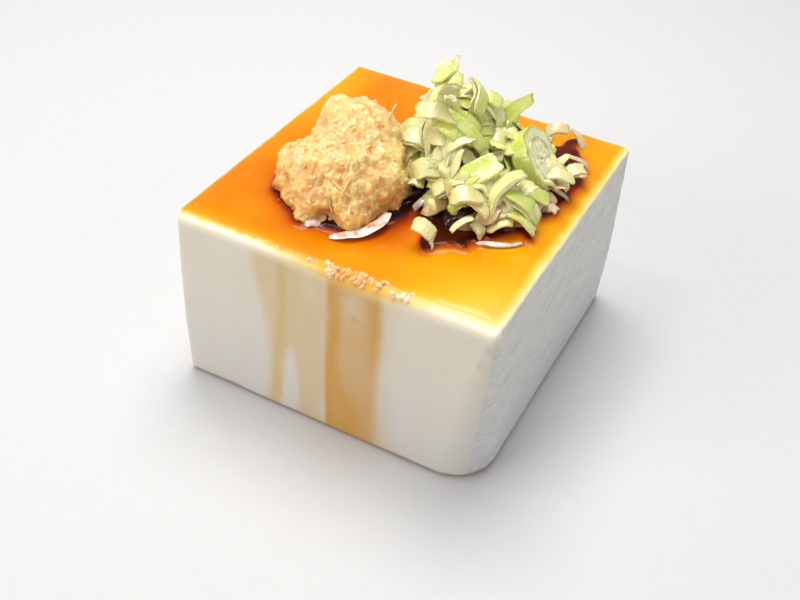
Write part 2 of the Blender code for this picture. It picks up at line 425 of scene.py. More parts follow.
def soyShade(x, y, z, near):
    # how deep the sauce looks at a place on the top, from 0 bare to 1 almost black, with painted shadow under the
    # toppings folded in; x, y and z in mm
    left, right, back, front = x + 40, 40 - x, 41.75 - y, y + 41.75
    blur = 1.2 * noise.noise(Vector((x / 5, y / 5, 1))) + 0.5 * noise.noise(Vector((x / 1.6, y / 1.6, 7)))
    spill = bell((x - 6) / 13, 1)
    cornerPale = smoothStep(10, 34, x) * (1 - smoothStep(-36, -18, y))
    shade = 0.51 + 0.05 * noise.noise(Vector((x / 11, y / 11, 2))) + 0.07 * smoothStep(-24, 6, -x) - 0.05 * smoothStep(2, 22, x)
    shade -= 0.06 * smoothStep(22, 38, x) + 0.14 * cornerPale + 0.05 * bell((x - 2) / 9, 1) * bell((y + 36) / 4, 1)
    shade *= smoothStep(-0.5, 1.3, left + 0.3 * blur)
    shade *= smoothStep(-0.6, 1.4, back + 0.4 * blur)
    shade *= 0.30 * smoothStep(-0.2, 1.0, right + 0.3 * blur) + 0.70 * smoothStep(0.3, 3.0, right + 0.7 * blur)
    wide = 6.5 + 1.5 * blur - 3 * spill
    sharp = 0.80 - 0.42 * smoothStep(4, 30, x)
    shade *= sharp * smoothStep(0.7 - 2.6 * spill, 2.3, front + 0.5 * blur) + (1 - sharp) * smoothStep(1.0 - 2.5 * spill, wide, front + blur)
    # darker near the toppings: partly deeper sauce at their feet, partly painted shadow under and between the heaps
    shade += 0.36 * math.exp(-max(0, near) / 0.8) + 0.09 * math.exp(-max(0, near) / 3.2)
    shade -= 0.14 * bell(left / 7, 1) * smoothStep(-4, 22, y)
    shade += 0.22 * bell(math.hypot((x - 4.5) / 4.5, (y + 15) / 6.0), 1)
    shade += 0.10 * bell(math.hypot((x - 2) / 10, (y + 24) / 6), 1)
    return min(1, max(0, shade))


soyStops = [
    (0.00, linear(253, 244, 220)),
    (0.08, linear(252, 226, 160)),
    (0.18, linear(246, 206, 104)),
    (0.30, linear(244, 186, 44)),
    (0.42, linear(238, 162, 8)),
    (0.54, linear(228, 140, 0)),
    (0.66, linear(206, 100, 0)),
    (0.76, linear(172, 62, 4)),
    (0.86, linear(112, 32, 8)),
    (0.94, linear(66, 20, 8)),
    (1.00, linear(40, 14, 7)),
]


def tofuFinish():
    curd = Finish("bean_curd", Roughness=0.36, IOR=1.36, Subsurface_Weight=0.35, Subsurface_Scale=0.0022)
    curd.shader.inputs["Subsurface Radius"].default_value = (1.0, 0.75, 0.5)
    place = curd.places()
    x, y, z = (curd.part(place, axis) for axis in "XYZ")
    normal = curd.node("NewGeometry", {}, {}, "Normal")
    across, up = curd.part(normal, "X"), curd.part(normal, "Z")

    mottle = curd.clouds(place, 9 * mm, 3, 0.55)
    speck = curd.clouds(place, 1.4 * mm, 2, 0.5)
    warmth = curd.rise(z, 8 * mm, 46 * mm)
    front = curd.blend(linear(214, 211, 205), linear(224, 216, 199), warmth)
    front = curd.blend(front, linear(208, 200, 186), mottle * 0.5)
    cutSide = curd.blend(linear(206, 206, 205), linear(214, 212, 204), warmth)
    behind = curd.rise(curd.part(normal, "Y"), 0.5, 0.9)
    drag = curd.clouds(curd.stretched(place, (1, 0.22, 1.0), (math.radians(42), 0, 0)), 1.6 * mm, 4, 0.6)
    drawn = curd.clouds(curd.stretched(place, (0.14, 1, 1.0), (0, math.radians(-14), 0)), 1.3 * mm, 4, 0.6)
    drag = drag * (1 - behind) + (0.8 * drawn + 0.06) * behind
    cutSide = curd.blend(cutSide, linear(176, 177, 180), curd.rise(drag, 0.45, 0.75) * (0.6 - 0.25 * behind))
    tears = curd.clouds(curd.stretched(place, (1, 0.16, 1.0), (math.radians(38), 0, 0)), 0.9 * mm, 3, 0.6)
    tears = tears * (1 - 0.4 * behind)
    cutSide = curd.blend(cutSide, linear(240, 238, 230), curd.rise(tears, 0.56, 0.72) * 0.5)
    cut = curd.share("cut")
    body = curd.blend(front, cutSide, cut)

    veil, run = curd.share("veil"), curd.share("run")
    ripple = curd.clouds(curd.stretched(place, (1, 1, 0.12)), 2.2 * mm, 3, 0.5)
    body = curd.blend(body, linear(208, 178, 118), veil * (0.82 + 0.3 * ripple))
    body = curd.blend(body, linear(204, 156, 76), run * (0.86 + 0.28 * ripple))
    shore = 1 - curd.rise(z + (mottle - 0.5) * (2 * mm), 0.3 * mm, 1.7 * mm)
    body = curd.blend(body, linear(150, 96, 52), shore * 0.75)

    # the sauce's colour on the top, darkest under the toppings, where it is painted shadow
    soy_and_shadow = curd.share("soy_and_shadow")
    wash = curd.node("ValToRGB", {"stops": soyStops}, {0: soy_and_shadow})
    # the top's colour, carried down over the rounded rims, where its pale cream is partly the curd's own and partly a
    # painted highlight
    top = curd.share("wet")
    colour = curd.blend(body, wash, top)
    curd.put(curd.shader.inputs["Base Color"], colour)
    curd.put(curd.shader.inputs["Roughness"], 0.46 - 0.16 * top - 0.10 * run + 0.14 * (speck - 0.5))
    side = cut * (1 - curd.rise(up, 0.4, 0.9))
    height = 0.25 * speck + (drag + 0.8 * tears) * side * 1.8 + 0.3 * mottle
    curd.put(curd.shader.inputs["Normal"], curd.bump(height, 0.25 * mm, 0.6))
    return curd


def makeTofu():
    clearSelection()
    bpy.ops.mesh.primitive_cube_add(size=1, location=(0, 0, blockHeight / 2))
    tofu = bpy.context.object
    tofu.name = "silken_tofu"
    tofu.scale = (2 * halfLength, 2 * halfDepth, blockHeight)
    applyPlace(tofu)
    pickOnly(tofu)
    bpy.ops.object.mode_set(mode="EDIT")
    bpy.ops.mesh.select_mode(type="EDGE")
    for axis, count in enumerate(tofuSettings["cuts"]):
        bpy.ops.mesh.select_all(action="DESELECT")
        mesh = bmesh.from_edit_mesh(tofu.data)
        for edge in mesh.edges:
            run = edge.verts[1].co - edge.verts[0].co
            edge.select_set(abs(run[axis]) > 0.9 * run.length)
        bmesh.update_edit_mesh(tofu.data)
        bpy.ops.mesh.subdivide(number_cuts=count)
    bpy.ops.object.mode_set(mode="OBJECT")

    crowd = tofuSettings["crowd"]

    def crowded(value, half):
        share = value / half
        return half * (share + crowd * math.sin(math.pi * share) / math.pi)

    def shaped(point):
        middle = blockHeight / 2
        spread = Vector((crowded(point.x, halfLength), crowded(point.y, halfDepth), middle + crowded(point.z - middle, middle)))
        return softBlock(spread)

    shapePoints(tofu, shaped)
    return tofu


def stainTofu(tofu, nearest):
    runs, veils, soyAndShadows, wetTopAndLitRims, cuts = [], [], [], [], []
    for vertex in tofu.data.vertices:
        x, y, z = vertex.co / mm
        # the knife's face begins at a crisp line just round the front corner
        inset = 0.3 + 3.2 * max(0, 1 - z / 48.5) ** 1.3 + 0.25 * noise.noise(Vector((0, 0, z / 2.4)))
        rightCut = smoothStep(-0.25, 0.25, x - (40 - inset)) if y < 0 else smoothStep(-0.25, 0.25, x - 39.4)
        cuts.append(max(rightCut, smoothStep(-0.3, 0.3, y - 41.2)))
        brown, veil = frontStain(x, z)
        facing = smoothStep(-39.6, -41.2, y)
        runs.append(brown * facing)
        veils.append(veil * facing)
        near = nearest(vertex.co) if z > 46 else 99
        shade = soyShade(x, y, z, near)
        spill = bell((x - 6) / 12, 1) * (0.8 + 0.5 * noise.noise(Vector((x / 1.8, z / 2.5, 4))))
        # the top's colour runs down over the rims, lower on the front; where little sauce reached, its pale cream is
        # partly the curd's own and partly a painted highlight on the rounded edge
        if y < -39.5:
            down = smoothStep(44.6 - 1.2 * spill, 48.4, z)
            shade = max(shade, 0.46 * spill * smoothStep(45.0, 47.6, z + 1.4 * noise.noise(Vector((x / 2.2, 0, 9)))))
        else:
            down = smoothStep(47.3, 48.3, z)
        soyAndShadows.append(shade)
        wetTopAndLitRims.append(down)
    for name, values in (("run", runs), ("veil", veils), ("soy_and_shadow", soyAndShadows), ("wet", wetTopAndLitRims), ("cut", cuts)):
        storeShare(tofu, name, values)


tofu = makeTofu()
print("tofu shaped", len(tofu.data.polygons))


# Grated ginger
gingerSettings = {
    "place": Vector((-12, -13, 49.05)) * mm,
    "radii": Vector((15.5, 16.5, 14.4)) * mm,
    # bulges and hollows: bearing and rise in degrees, how far out in mm, and spread in degrees
    "bulges": [(105, 52, 4.0, 30), (100, 10, 5.5, 40), (205, 20, 1.8, 24), (255, 35, 1.6, 22),
               (290, 12, 1.8, 20), (345, 25, 1.4, 22), (136, 50, 2.6, 11), (150, 42, 1.0, 9),
               (172, 44, -2.6, 13), (190, 34, 1.3, 10), (200, 26, 0.6, 8), (284, 8, -3.4, 11),
               (264, 4, 1.6, 10), (308, 5, 1.8, 12), (338, 10, -1.8, 10), (262, 50, 1.4, 12),
               (318, 56, 1.6, 13), (290, 74, -1.6, 12), (20, 40, 1.2, 10), (110, 70, 0.8, 9)],
    "coarse": (1.1, 4.0),  # lumps: how high and how wide, in mm
    "middle": (0.75, 2.0),
    "fine": (0.34, 0.8),
    "strands": 170,
    "grains": 330,
    "seed": 11,
}


def bulgeAt(direction, bulges):
    total = 0
    for bearing, rise, height, spread in bulges:
        turn, lift = math.radians(bearing), math.radians(rise)
        axis = Vector((math.cos(turn) * math.cos(lift), math.sin(turn) * math.cos(lift), math.sin(lift)))
        angle = math.degrees(math.acos(max(-1, min(1, axis.dot(direction)))))
        total += height * mm * math.exp(-((angle / spread) ** 2))
    return total


def makeGinger():
    setting = gingerSettings
    clearSelection()
    bpy.ops.mesh.primitive_ico_sphere_add(subdivisions=7, radius=1)
    pulp = bpy.context.object
    pulp.name = "ginger_pulp"
    radii, place = setting["radii"], setting["place"]

    creaseShades = []

    def mounded(direction):
        point = Vector((direction.x * radii.x, direction.y * radii.y, direction.z * radii.z))
        swell = bulgeAt(direction, setting["bulges"])
        point += direction * swell
        push = 0
        for height, width in (setting["coarse"], setting["middle"], setting["fine"]):
            push += height * noise.noise(point / (width * mm))
        crumb = noise.voronoi(point / (2.1 * mm))[0][0]
        push += 0.5 * (0.42 - crumb) + 0.12 * (0.4 - noise.voronoi(point / (0.9 * mm))[0][0])
        bearing = math.atan2(direction.y, direction.x)
        thread = noise.noise(Vector((bearing * 14, point.z / (5 * mm), 3)))
        push += 0.5 * thread * smoothStep(0.9, 0.3, abs(bearing + 1.1))
        # hollows of the pulp, which are later coloured darker amber as painted shade
        creaseShades.append(smoothStep(0.5, -1.3, push + 0.5 * min(0, swell / mm)))
        point += direction * (push - 0.35) * mm + place
        point.z = max(point.z, place.z - 0.9 * mm)
        return point

    shapePoints(pulp, mounded)
    storeShare(pulp, "crease_shade", creaseShades)
    return pulp


def makeStrandKinds():
    # a few bent, tapered threads that the loose ginger is copied from
    kinds = []
    for length, thick, bend in ((1.2, 0.13, 50), (1.8, 0.11, 75), (2.6, 0.12, 30), (1.5, 0.16, 95), (5.0, 0.16, 40)):
        clearSelection()
        bpy.ops.mesh.primitive_cylinder_add(vertices=5, radius=thick * mm, depth=length * mm, end_fill_type="TRIFAN")
        strand = bpy.context.object
        mesh = bmesh.new()
        mesh.from_mesh(strand.data)
        upright = [edge for edge in mesh.edges if abs(edge.verts[0].co.z - edge.verts[1].co.z) > 0.5 * length * mm]
        bmesh.ops.subdivide_edges(mesh, edges=upright, cuts=4, use_grid_fill=True)
        mesh.to_mesh(strand.data)
        mesh.free()
        arc = math.radians(bend)

        def bent(point):
            share = point.z / (length * mm)
            slim = 1 - 1.5 * abs(share) ** 2
            radius = length * mm / arc
            angle = share * arc
            reach = radius + point.x * slim
            return Vector((reach * math.cos(angle) - radius, point.y * slim * 1.4, reach * math.sin(angle)))

        shapePoints(strand, bent)
        kinds.append(strand)
    return kinds


def makeGrainKinds():
    kinds = []
    for number in range(4):
        clearSelection()
        bpy.ops.mesh.primitive_ico_sphere_add(subdivisions=2, radius=0.62 * mm)
        grain = bpy.context.object
        grain.scale = (1.0, 0.7 + 0.08 * number, 0.6)
        applyPlace(grain)
        shift = Vector((number * 7.0, 0, 0))
        shapePoints(grain, lambda point: point * (1 + 0.7 * noise.noise(point / (0.55 * mm) + shift)))
        kinds.append(grain)
    return kinds


def onSurface(tree, origin, direction):
    # the outermost place of a mound along a direction from its middle
    reach = origin + direction * 80 * mm
    place, normal, _, _ = tree.ray_cast(reach, -direction)
    return place, normal


def layAlong(place, normal, heading, lift, roll=0.0, scale=1.0):
    # stands a piece's own Z along a heading on the surface, its X outwards
    flat = (heading - normal * heading.dot(normal)).normalized()
    along = (flat + normal * lift).normalized()
    side = along.cross(normal).normalized()
    outward = side.cross(along)
    turn = Matrix((outward, side, along)).transposed().to_4x4()
    return Matrix.Translation(place) @ turn @ Matrix.Rotation(roll, 4, "Z") @ Matrix.Scale(scale, 4)


def joinCopies(name, copies):
    # copies is a list of (kind, matrix, values): every copy gets its own mesh and its values as point shares
    mesh = bmesh.new()
    for kind, matrix, values in copies:
        copy = kind.data.copy()
        copy.transform(matrix)
        for key, value in values.items():
            layer = copy.attributes.get(key) or copy.attributes.new(key, "FLOAT", "POINT")
            layer.data.foreach_set("value", [value] * len(copy.vertices))
        mesh.from_mesh(copy)
        bpy.data.meshes.remove(copy)
    data = bpy.data.meshes.new(name)
    mesh.to_mesh(data)
    mesh.free()
    data.materials.clear()
    joined = bpy.data.objects.new(name, data)
    bpy.context.scene.collection.objects.link(joined)
    for polygon in data.polygons:
        polygon.use_smooth = True
    return joined


def clearKinds(kinds):
    for kind in kinds:
        bpy.data.objects.remove(kind)


def scatterGinger(pulp):
    setting = gingerSettings
    dice = random.Random(setting["seed"])
    tree = treeOf([pulp])
    strands, grains = makeStrandKinds(), makeGrainKinds()
    floor = setting["place"].z
    copies = []
    for number in range(setting["strands"] + setting["grains"]):
        turn = dice.uniform(0, 2 * math.pi)
        rise = dice.uniform(0.02, 1)
        level = math.sqrt(1 - rise * rise)
        direction = Vector((level * math.cos(turn), level * math.sin(turn), rise))
        place, normal = onSurface(tree, setting["place"], direction)
        if place is None or place.z < floor + 0.3 * mm:
            continue
        down = Vector((0, 0, -1)) + Vector([dice.gauss(0, 0.75) for _ in range(3)])
        values = {"pale": dice.random(), "wetness": smoothStep(7, 0, (place.z - floor) / mm)}
        if number < setting["strands"]:
            kind = dice.choice(strands)
            matrix = layAlong(place - normal * dice.uniform(0.06, 0.18) * mm, normal, down, dice.uniform(-0.1, 0.12),
                              dice.uniform(-1.2, 1.2), dice.uniform(0.7, 1.15))
        else:
            kind = dice.choice(grains)
            matrix = layAlong(place - normal * dice.uniform(0.05, 0.4) * mm, normal, down, 0.1,
                              dice.uniform(0, 6.28), dice.uniform(0.4, 1.1))
        copies.append((kind, matrix, values))
    # long threads hang down the front, and one stands up behind the mound
    for turn, rise, lean, scale in ((-1.05, 0.75, 0.1, 1.3), (-1.0, 0.62, -0.05, 1.4), (-1.12, 0.5, 0.1, 1.3),
                                    (-0.95, 0.45, 0.3, 1.1), (-1.3, 0.35, -0.2, 1.2), (-1.0, 0.3, 0.0, 1.2),
                                    (-1.9, 0.6, 0.4, 1.0), (-2.3, 0.5, -0.3, 0.9), (-0.6, 0.6, 0.3, 1.0)):
        level = math.sqrt(1 - rise * rise)
        place, normal = onSurface(tree, setting["place"], Vector((level * math.cos(turn), level * math.sin(turn), rise)))
        matrix = layAlong(place + normal * 0.1 * mm, normal, Vector((lean, 0, -1)), 0.02, 1.57, scale)
        copies.append((strands[4], matrix, {"pale": 1.0, "wetness": 0.1}))
    spot = onSurface(tree, setting["place"], Vector((0.25, 0.6, 0.75)).normalized())[0]
    upright = layAlong(spot, Vector((0, -1, 0.1)).normalized(), Vector((0.25, 0.1, 0.9)), 0.0, 0.0, 1.7)
    copies.append((strands[4], upright, {"pale": 0.9, "wetness": 0.1}))
    shreds = joinCopies("ginger_shreds", copies)
    clearKinds(strands + grains)
    return shreds


def treeOf(objs):
    mesh = bmesh.new()
    for obj in objs:
        mesh.from_mesh(obj.data)
    tree = BVHTree.FromBMesh(mesh)
    mesh.free()
    return tree


def gingerFinish(name, loose):
    depth = 0.0002 if loose else 0.0024
    glow = 0.5 if loose else 0.85
    ginger = Finish(name, Roughness=0.1, IOR=1.46, Subsurface_Weight=glow, Subsurface_Scale=depth,
                    Specular_IOR_Level=0.7)
    ginger.shader.inputs["Subsurface Radius"].default_value = (1.0, 0.6, 0.3)
    place = ginger.places()
    z = ginger.part(place, "Z")
    floor = gingerSettings["place"].z
    patch = ginger.clouds(place, 5 * mm, 3, 0.55)
    speck = ginger.clouds(place, 0.8 * mm, 3, 0.6)
    high = ginger.rise(z + (patch - 0.5) * (9 * mm), floor - 1 * mm, floor + 12 * mm)
    colour = ginger.node("ValToRGB", {"stops": [
        (0.0, linear(222, 150, 66)), (0.16, linear(242, 192, 104)), (0.5, linear(246, 206, 122)),
        (1.0, linear(248, 214, 142))]}, {0: high})
    colour = ginger.blend(colour, linear(252, 230, 168), ginger.rise(speck, 0.5, 0.78) * 0.4)
    colour = ginger.blend(colour, linear(240, 172, 84), ginger.rise(patch, 0.5, 0.7) * 0.4)
    if loose:
        pale, wetness = ginger.share("pale"), ginger.share("wetness")
        colour = ginger.blend(colour, linear(250, 226, 170), ginger.rise(pale, 0.3, 1.1) * 0.6)
        colour = ginger.blend(colour, linear(206, 124, 48), wetness * 0.35)
    else:
        # darker amber in the hollows is painted shade
        colour = ginger.blend(colour, linear(228, 146, 52), ginger.share("crease_shade") * 0.6)
    # short pale squiggles that wander over the surface: partly pale fibres, partly painted glints
    wander = ginger.clouds(place, 1.7 * mm, 2, 0.6) - 0.5
    paleFibreGlint = (1 - ginger.rise(wander * wander, 0.0, 0.0012)) * ginger.rise(ginger.clouds(place, 3.1 * mm, 1, 0.5), 0.48, 0.60)
    colour = ginger.blend(colour, linear(255, 242, 206), paleFibreGlint * 0.7)
    ginger.put(ginger.shader.inputs["Base Color"], colour)
    ginger.put(ginger.shader.inputs["Roughness"], 0.04 + 0.14 * speck)
    beads = ginger.clouds(place, 1.1 * mm, 2, 0.5)
    fibres = ginger.clouds(ginger.stretched(place, (1, 1, 0.25)), 0.5 * mm, 3, 0.6)
    ginger.put(ginger.shader.inputs["Normal"], ginger.bump(0.35 * fibres + 0.4 * speck + beads + 0.3 * paleFibreGlint, 0.30 * mm, 0.9))
    return ginger


gingerPulp = makeGinger()
gingerShreds = scatterGinger(gingerPulp)
gingerFinish("grated_ginger", False).wear(gingerPulp)
gingerFinish("ginger_threads", True).wear(gingerShreds)
for polygon in gingerPulp.data.polygons:
    polygon.use_smooth = True
standFor(gingerPulp, "ginger", "grated_ginger")
standFor(gingerShreds, "ginger")
print("ginger heaped", len(gingerPulp.data.polygons), len(gingerShreds.data.polygons))


# Chopped spring onion
# A group of slices lies on a patch of the frame's own heap. Its bearings, seen from above and counted from the right,
# and its rises, both in degrees, run between the two values given; the lift is how far it stands off that heap in mm.
# Each slice: how it is turned as seen from the front corner (spin in the view, tip towards the viewer, yaw, degrees);
# outer radius, wall and length along the stalk in mm; arc in degrees; how green it is; how soaked; what else it has.
sliceGroups = [
    {   # the shards at the peak
        "bearing": (166, 170), "rise": (64, 61), "lift": -2,
        "slices": [
            ((84, 74, 0), (10, 0.6, 3), 52, 0.35, 0.05, {"point": 0.8}),
            ((96, 70, 0), (8, 0.5, 2.6), 56, 0.2, 0.05, {"point": 0.3}),
        ],
    },
    {   # the peak
        "bearing": (190, 140), "rise": (66, 48), "lift": -3,
        "slices": [
            ((34, 50, 0), (6.4, 0.7, 4.6), 88, 0.25, 0.14, {}),
            ((4, 58, 0), (5.4, 0.7, 4.2), 78, 0.5, 0.02, {}),
            ((-36, 58, 0), (6.8, 0.8, 5.4), 86, 0.9, 0, {}),
            ((-52, 66, 0), (6.6, 0.7, 4.6), 60, 0.35, 0, {}),
            ((-34, 50, 10), (5.8, 0.6, 5.4), 110, 0.1, 0.12, {}),
            ((-48, 54, 0), (4.8, 0.6, 4.6), 110, 0, 0.15, {}),
            ((-60, 62, 0), (6, 0.7, 5.4), 80, 0.1, 0.1, {}),
            ((-74, 66, 0), (5, 0.7, 4), 80, 0.05, 0.12, {}),
            ((24, 56, 0), (5.6, 0.6, 4.6), 80, 0.1, 0.2, {}),
            ((86, 72, 0), (12, 0.6, 1.4), 44, 0.6, 0.16, {}),
            ((88, 74, 0), (9, 0.6, 1.7), 52, 0.1, 0.14, {}),
            ((80, 70, 0), (8, 0.6, 2.2), 50, 0.1, 0.24, {}),
        ],
    },
    {   # the long green slab across the middle and the sheets below it
        "bearing": (196, 208), "rise": (66, 54), "lift": -1,
        "slices": [
            ((-46, 60, 4), (13, 1, 3), 66, 0.85, 0, {"point": -0.35}),
            ((-20, 80, 0), (9, 0.8, 6.8), 62, 0.62, 0, {}),
            ((-40, 76, 0), (7, 0.8, 5.2), 70, 0.72, 0, {}),
            ((-10, 74, 0), (6, 0.8, 4.8), 70, 0.15, 0.05, {}),
        ],
    },
    {   # right of the peak
        "bearing": (160, 80), "rise": (72, 50), "lift": -2,
        "slices": [
            ((-20, 66, 0), (7, 0.9, 5.4), 84, 0.3, 0, {}),
            ((-66, 30, -36), (7.6, 2.6, 4.6), 92, 0.75, 0, {"layers": 2}),
            ((-74, 60, 0), (7, 0.8, 4.6), 84, 0.05, 0, {}),
            ((-30, 60, 0), (5.4, 0.9, 4.6), 84, 0.6, 0, {"point": -0.4}),
            ((-50, 62, 0), (6.4, 0.8, 5.6), 84, 0.25, 0, {}),
            ((-76, 58, 0), (6, 0.7, 3.4), 84, 0.1, 0, {}),
            ((20, 40, 0), (2.2, 0.5, 1.6), 150, 0, 0, {}),
            ((38, 74, 0), (10, 0.9, 5), 72, 0.66, 0, {"point": 0.55}),
            ((48, 70, 0), (8, 0.9, 4.2), 60, 0.8, 0, {"point": 0.5}),
            ((20, 72, 0), (7, 0.9, 5.4), 74, 0.2, 0, {}),
            ((-10, 70, 0), (6, 0.9, 5), 76, 0.12, 0, {}),
        ],
    },
    {   # hanging down the left and the middle
        "bearing": (190, 240), "rise": (58, 18), "lift": -2,
        "slices": [
            ((20, 60, 0), (7, 0.9, 5), 84, 0.1, 0.85, {}),
            ((0, 60, 0), (8, 1, 5.4), 84, 0, 0.95, {}),
            ((80, 74, 0), (7, 0.7, 3.4), 60, 0.1, 0, {}),
            ((-6, 74, 0), (6.5, 0.7, 4.4), 70, 0.1, 0, {}),
            ((66, 70, 0), (9, 0.7, 2.8), 48, 0.08, 0.05, {"point": -0.3}),
            ((74, 60, 0), (11, 0.7, 2), 52, 0, 0.25, {}),
            ((92, 52, 0), (7.6, 0.8, 2.6), 84, 0.05, 0.3, {"point": -0.4}),
            ((80, 56, 0), (8, 0.8, 2.6), 70, 0.1, 0.3, {}),
            ((84, 66, 0), (7, 0.7, 2.4), 60, 0, 0.2, {}),
            ((-18, 56, 0), (8.4, 1.8, 5.2), 86, 0.1, 0.36, {"layers": 2}),
            ((16, 66, 0), (6, 0.8, 4.8), 80, 0.25, 0.18, {}),
            ((70, 72, 0), (6, 1, 4.6), 58, 0.9, 0, {"point": -0.55}),
            ((-4, 70, 0), (5, 0.9, 3.6), 72, 0.45, 0.05, {}),
            ((10, 70, 0), (5, 0.9, 4), 72, 0.2, 0.02, {}),
        ],
    },
    {   # the big slab in front
        "bearing": (256, 268), "rise": (46, 36), "lift": -1,
        "slices": [
            ((40, 74, -4), (20, 1.1, 5.8), 40, 0.7, 0, {}),
            ((52, 64, 0), (5, 1.1, 4.4), 48, 0.6, 0, {}),
            ((24, 80, 0), (6, 1, 4.6), 30, 0, 0, {}),
        ],
    },
    {   # the thick cut round on the right
        "bearing": (38, 38), "rise": (38, 38), "lift": -3,
        "slices": [
            ((15, -14, 55), (7.6, 2.9, 4.4), 356, 0.85, 0, {"layers": 3, "oval": 1.05}),
        ],
    },
    {   # between the cut round and the peak
        "bearing": (60, 90), "rise": (58, 46), "lift": -2,
        "slices": [
            ((-14, 60, 0), (8, 0.9, 4.6), 70, 0.75, 0, {}),
            ((10, 64, 0), (7, 0.9, 4.2), 66, 0.5, 0, {}),
        ],
    },
    {   # behind it, far right
        "bearing": (80, -15), "rise": (28, 4), "lift": -2.5,
        "slices": [
            ((-10, 62, 0), (7, 0.9, 4.2), 74, 0.15, 0.1, {}),
            ((10, 62, 0), (6, 0.9, 4.2), 74, 0.3, 0, {}),
            ((16, 40, 0), (5.2, 1.3, 4.2), 150, 0.12, 0, {}),
            ((-46, 50, 0), (4.2, 1, 3.6), 92, 0.05, 0.05, {}),
            ((-2, 66, 0), (8.4, 1.3, 3.8), 64, 0.8, 0, {}),
            ((-6, 60, 0), (7.4, 1.2, 3.4), 64, 0.1, 0.12, {}),
            ((46, 60, 0), (4.2, 0.8, 3.8), 58, 1, 0, {"point": 0.5}),
            ((36, 58, 0), (5.2, 0.9, 3.6), 64, 0, 0.36, {"point": 0.3}),
            ((26, 62, 0), (6.6, 0.9, 2.8), 40, 0, 0.3, {"point": 0.5}),
            ((10, 58, 0), (5.6, 0.9, 3), 70, 0, 0.4, {}),
            ((-6, 66, 0), (16, 0.7, 1.9), 32, 0, 0.48, {"point": 0.5}),
            ((34, 60, 0), (4.6, 0.8, 3), 60, 0, 0.16, {"point": 0.6}),
            ((-60, 50, 0), (4.6, 1, 3.4), 84, 0.1, 0.3, {}),
            ((-40, 56, 0), (4.4, 0.9, 3), 74, 0, 0.4, {}),
            ((-62, 60, 0), (7.6, 0.9, 2.8), 46, 0, 0.42, {"point": -0.4}),
            ((-40, 60, 0), (4.6, 0.8, 1.6), 44, 0, 0.5, {}),
            ((24, 58, 0), (7, 1.8, 3.8), 64, 0, 0.22, {"layers": 2}),
            ((60, 60, 0), (5, 0.9, 3.4), 60, 0, 0.34, {}),
            ((-24, 58, 0), (10, 0.8, 2), 50, 0, 0.48, {"point": 0.5}),
            ((-18, 60, 0), (8, 0.8, 2), 50, 0, 0.55, {"point": -0.4}),
            ((-10, 50, 0), (3.4, 0.9, 2.4), 80, 0, 0.3, {}),
        ],
    },
    {   # the front of the heap
        "bearing": (226, 330), "rise": (38, 5), "lift": -2,
        "slices": [
            ((-24, 52, 0), (4.6, 1, 4.6), 140, 0.2, 0, {}),
            ((-50, 60, 0), (5, 1, 3.6), 76, 0.15, 0.06, {}),
            ((48, 26, 0), (10, 1.8, 4.4), 84, 0.25, 0, {}),
            ((52, 52, 0), (8.6, 0.9, 4), 76, 0.9, 0, {}),
            ((44, 60, 0), (7.6, 1, 4.4), 60, 0.1, 0.22, {}),
            ((-16, 66, 0), (9, 2, 5), 76, 0.12, 0, {"layers": 2}),
            ((14, 44, 8), (8, 4.2, 5.6), 84, 0.1, 0.06, {"layers": 4}),
            ((-58, 60, 0), (7, 1.2, 5), 66, 0, 0.14, {}),
            ((8, 60, 0), (7, 1.6, 4.6), 70, 0, 0.4, {}),
            ((-20, 60, 0), (7, 1.4, 4.2), 60, 0, 0.45, {}),
            ((-150, 24, 0), (3.2, 0.8, 3.4), 140, 0, 0.3, {}),
            ((-64, 50, 0), (6, 1, 3), 66, 0, 0.45, {}),
            ((-34, 56, 0), (9.4, 1.6, 4.2), 76, 0.9, 0, {"layers": 2}),
            ((-40, 50, 0), (6, 1.2, 3.6), 70, 0.1, 0.3, {}),
            ((40, 60, 0), (5, 1, 4), 66, 0.1, 0.25, {}),
            ((-10, 60, 20), (4.6, 0.9, 4), 90, 0, 0.36, {}),
            ((40, 50, 0), (2.6, 1.1, 2.6), 110, 1, 0, {}),
            ((-20, 60, 0), (4, 0.8, 2.4), 60, 0, 0.35, {}),
            ((84, 70, 0), (5.4, 0.8, 4.8), 56, 0, 0.62, {}),
            ((80, 50, 0), (2.6, 0.7, 2.2), 60, 0, 0.1, {}),
            ((-32, 50, 0), (8, 1.2, 4.6), 82, 0.55, 0.12, {}),
            ((36, 30, 0), (6, 0.5, 1.4), 60, 0, 0, {}),
            ((60, 60, 0), (6, 0.9, 3.6), 66, 0.5, 0.16, {}),
            ((10, 62, 0), (6, 0.9, 3.4), 66, 0.55, 0.28, {}),
            ((-26, 62, 0), (5.4, 0.9, 3.6), 66, 0.15, 0.25, {}),
            ((20, 58, 0), (4, 0.9, 3), 84, 0.1, 0.35, {}),
            ((-40, 50, 0), (3, 1.3, 3.4), 96, 0.05, 0.2, {}),
            ((26, 60, 0), (7, 0.9, 2.6), 66, 0, 0.6, {}),
        ],
    },
    {   # against the ginger
        "bearing": (158, 205), "rise": (30, 10), "lift": 2,
        "slices": [
            ((30, 52, 0), (6.6, 1.4, 5.6), 90, 0.2, 0.34, {"layers": 2}),
            ((26, 62, 0), (7.4, 0.8, 3), 70, 0.85, 0.1, {}),
            ((0, 60, 30), (7, 1, 5), 90, 0.3, 0.3, {}),
            ((40, 50, 60), (7, 1, 5), 90, 0.1, 0.5, {}),
            ((-20, 56, 0), (6, 1.8, 5.6), 92, 0.3, 0.2, {"layers": 2}),
            ((4, 60, 0), (5.6, 1, 5), 90, 0.3, 0.15, {}),
            ((20, 60, 0), (5, 1, 4.6), 84, 0.2, 0.34, {}),
        ],
    },
]

